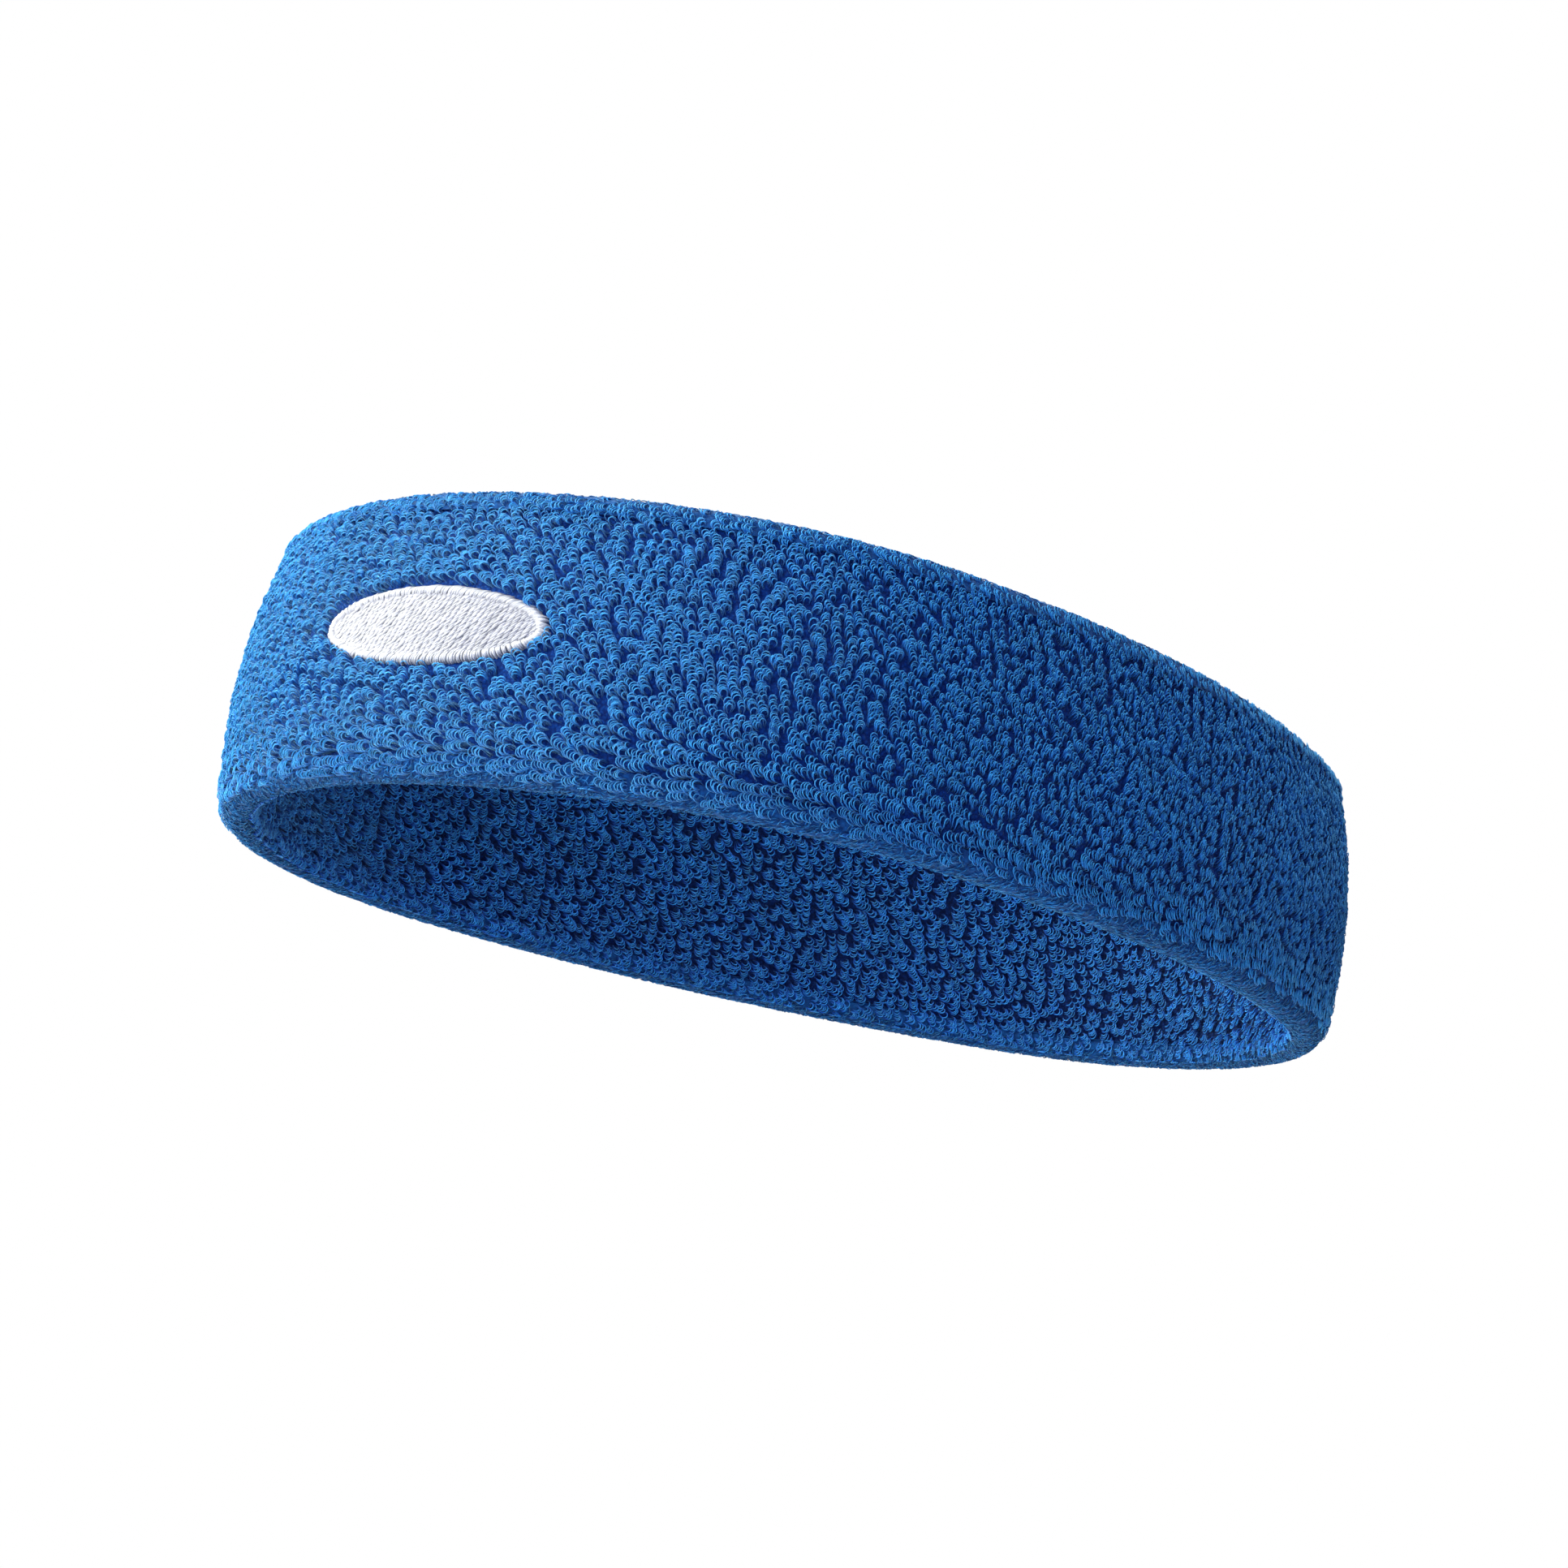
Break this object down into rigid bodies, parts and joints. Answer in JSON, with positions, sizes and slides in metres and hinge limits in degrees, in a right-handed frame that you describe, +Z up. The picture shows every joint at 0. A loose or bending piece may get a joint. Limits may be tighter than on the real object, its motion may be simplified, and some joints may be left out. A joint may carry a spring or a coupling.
{
  "type": "sports headband",
  "caption": "Terry knit sweatband for the head, a doubled elastic tube with folded edges and a plain oval embroidered emblem.",
  "frame": {"origin": "middle of the lower edge's plane, at the middle of the oval", "axes": "+Z up as worn, front of the head towards -Y, wearer's left towards +X"},
  "size_m": [0.156, 0.2094, 0.048],
  "materials": {
    "terry": "looped pile, royal blue",
    "fold_knit": "flat knit, royal blue",
    "ground_knit": "plain knit, dark blue",
    "elastic": "covered elastic yarn",
    "seam_thread": "sewing thread",
    "emblem_thread": "white embroidery thread, satin",
    "bobbin_thread": "white bobbin thread, matt",
    "backing": "thin non-woven sheet"
  },
  "bodies": {
    "root": {"outer_terry_pile": "terry", "inner_terry_pile": "terry", "lower_fold": "fold_knit", "upper_fold": "fold_knit", "outer_ground_knit": "ground_knit", "inner_ground_knit": "ground_knit", "outer_elastic_yarns": "elastic", "inner_elastic_yarns": "elastic", "closing_seam_thread": "seam_thread", "emblem_border": "emblem_thread", "emblem_fill": "emblem_thread", "emblem_underlay": "emblem_thread", "emblem_backing": "backing", "emblem_bobbin_thread": "bobbin_thread"}
  },
  "joints": []
}
